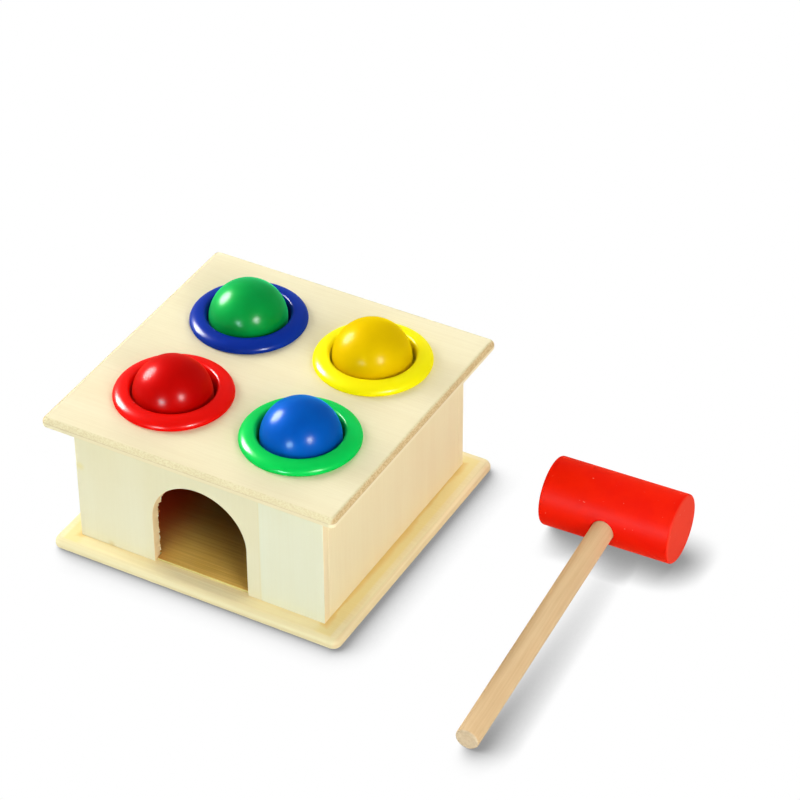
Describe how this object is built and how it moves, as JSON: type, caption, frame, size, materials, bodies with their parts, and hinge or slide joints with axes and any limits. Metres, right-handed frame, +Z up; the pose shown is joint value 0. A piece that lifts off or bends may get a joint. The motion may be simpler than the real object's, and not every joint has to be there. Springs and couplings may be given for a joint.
{
  "type": "wooden pounding bench",
  "caption": "Small plywood bench toy: balls held in springy moulded rings are knocked through its top with a mallet and roll down an inner ramp to an arched doorway.",
  "frame": {"origin": "on the underside of the base board, below the middle of the box", "axes": "+X to the right along the front wall, +Y from the doorway to the back, +Z up"},
  "size_m": [0.2088, 0.1437, 0.0782],
  "materials": {
    "plywood_light": "pale sanded birch plywood, clear matt",
    "plywood_warm": "warm sanded plywood, clear matt",
    "beech": "sanded beech, unpainted",
    "red_lacquer": "opaque satin red paint on turned wood",
    "ball_red": "gloss red paint on turned wood",
    "ball_green": "gloss green paint on turned wood",
    "ball_blue": "gloss blue paint on turned wood",
    "ball_yellow": "gloss yellow paint on turned wood",
    "ring_red": "smooth gloss moulded plastic",
    "ring_blue": "smooth gloss moulded plastic",
    "ring_green": "smooth gloss moulded plastic",
    "ring_yellow": "smooth gloss moulded plastic"
  },
  "bodies": {
    "bench": {"base_board": "plywood_warm", "top_board": "plywood_light", "front_wall": "plywood_light", "back_wall": "plywood_light", "left_wall": "plywood_warm", "right_wall": "plywood_warm", "ramp_board": "plywood_warm", "ramp_cleat": "beech", "ring_front_left_red": "ring_red", "ring_back_left_blue": "ring_blue", "ring_front_right_green": "ring_green", "ring_back_right_yellow": "ring_yellow"},
    "red_ball": {"ball_front_left_red": "ball_red"},
    "green_ball": {"ball_back_left_green": "ball_green"},
    "blue_ball": {"ball_front_right_blue": "ball_blue"},
    "yellow_ball": {"ball_back_right_yellow": "ball_yellow"},
    "mallet": {"mallet_head": "red_lacquer", "mallet_handle": "beech"}
  },
  "joints": [
    {"name": "red_ball_drop", "type": "slide", "parent": "bench", "child": "red_ball", "axis": [0, 0, -1], "range_m": [0, 0.036], "deforming": ["ring_front_left_red"]},
    {"name": "green_ball_drop", "type": "slide", "parent": "bench", "child": "green_ball", "axis": [0, 0, -1], "range_m": [0, 0.0279], "deforming": ["ring_back_left_blue"]},
    {"name": "blue_ball_drop", "type": "slide", "parent": "bench", "child": "blue_ball", "axis": [0, 0, -1], "range_m": [0, 0.0368], "deforming": ["ring_front_right_green"]},
    {"name": "yellow_ball_drop", "type": "slide", "parent": "bench", "child": "yellow_ball", "axis": [0, 0, -1], "range_m": [0, 0.0283], "deforming": ["ring_back_right_yellow"]},
    {"name": "mallet_lift", "type": "slide", "parent": "bench", "child": "mallet", "axis": [0, 0, 1], "range_m": [0, 0.15]}
  ]
}
